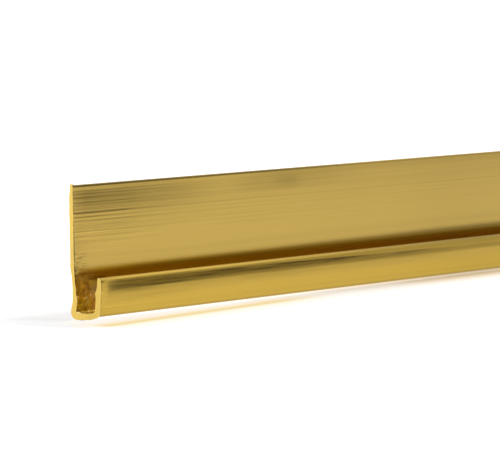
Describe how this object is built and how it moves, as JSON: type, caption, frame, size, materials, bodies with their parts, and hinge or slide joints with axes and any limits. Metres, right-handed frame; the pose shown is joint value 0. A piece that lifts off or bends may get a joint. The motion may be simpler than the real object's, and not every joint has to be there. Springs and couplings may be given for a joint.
{
  "type": "pvc j-trim",
  "caption": "One-piece extruded PVC J-trim: a tall flange that fixes to the wall and a short open channel that takes a thin panel's edge.",
  "frame": {"origin": "centre of the strip's box, on the level its base stands on", "axes": "+X along the strip, +Y towards the wall that the flange lies on, +Z from the base up to the flange's free edge"},
  "size_m": [0.457, 0.0076, 0.0254],
  "materials": {
    "gold_pvc": "satin metallic gold, with fine lengthwise draw lines"
  },
  "bodies": {
    "root": {"j_trim": "gold_pvc"}
  },
  "joints": []
}
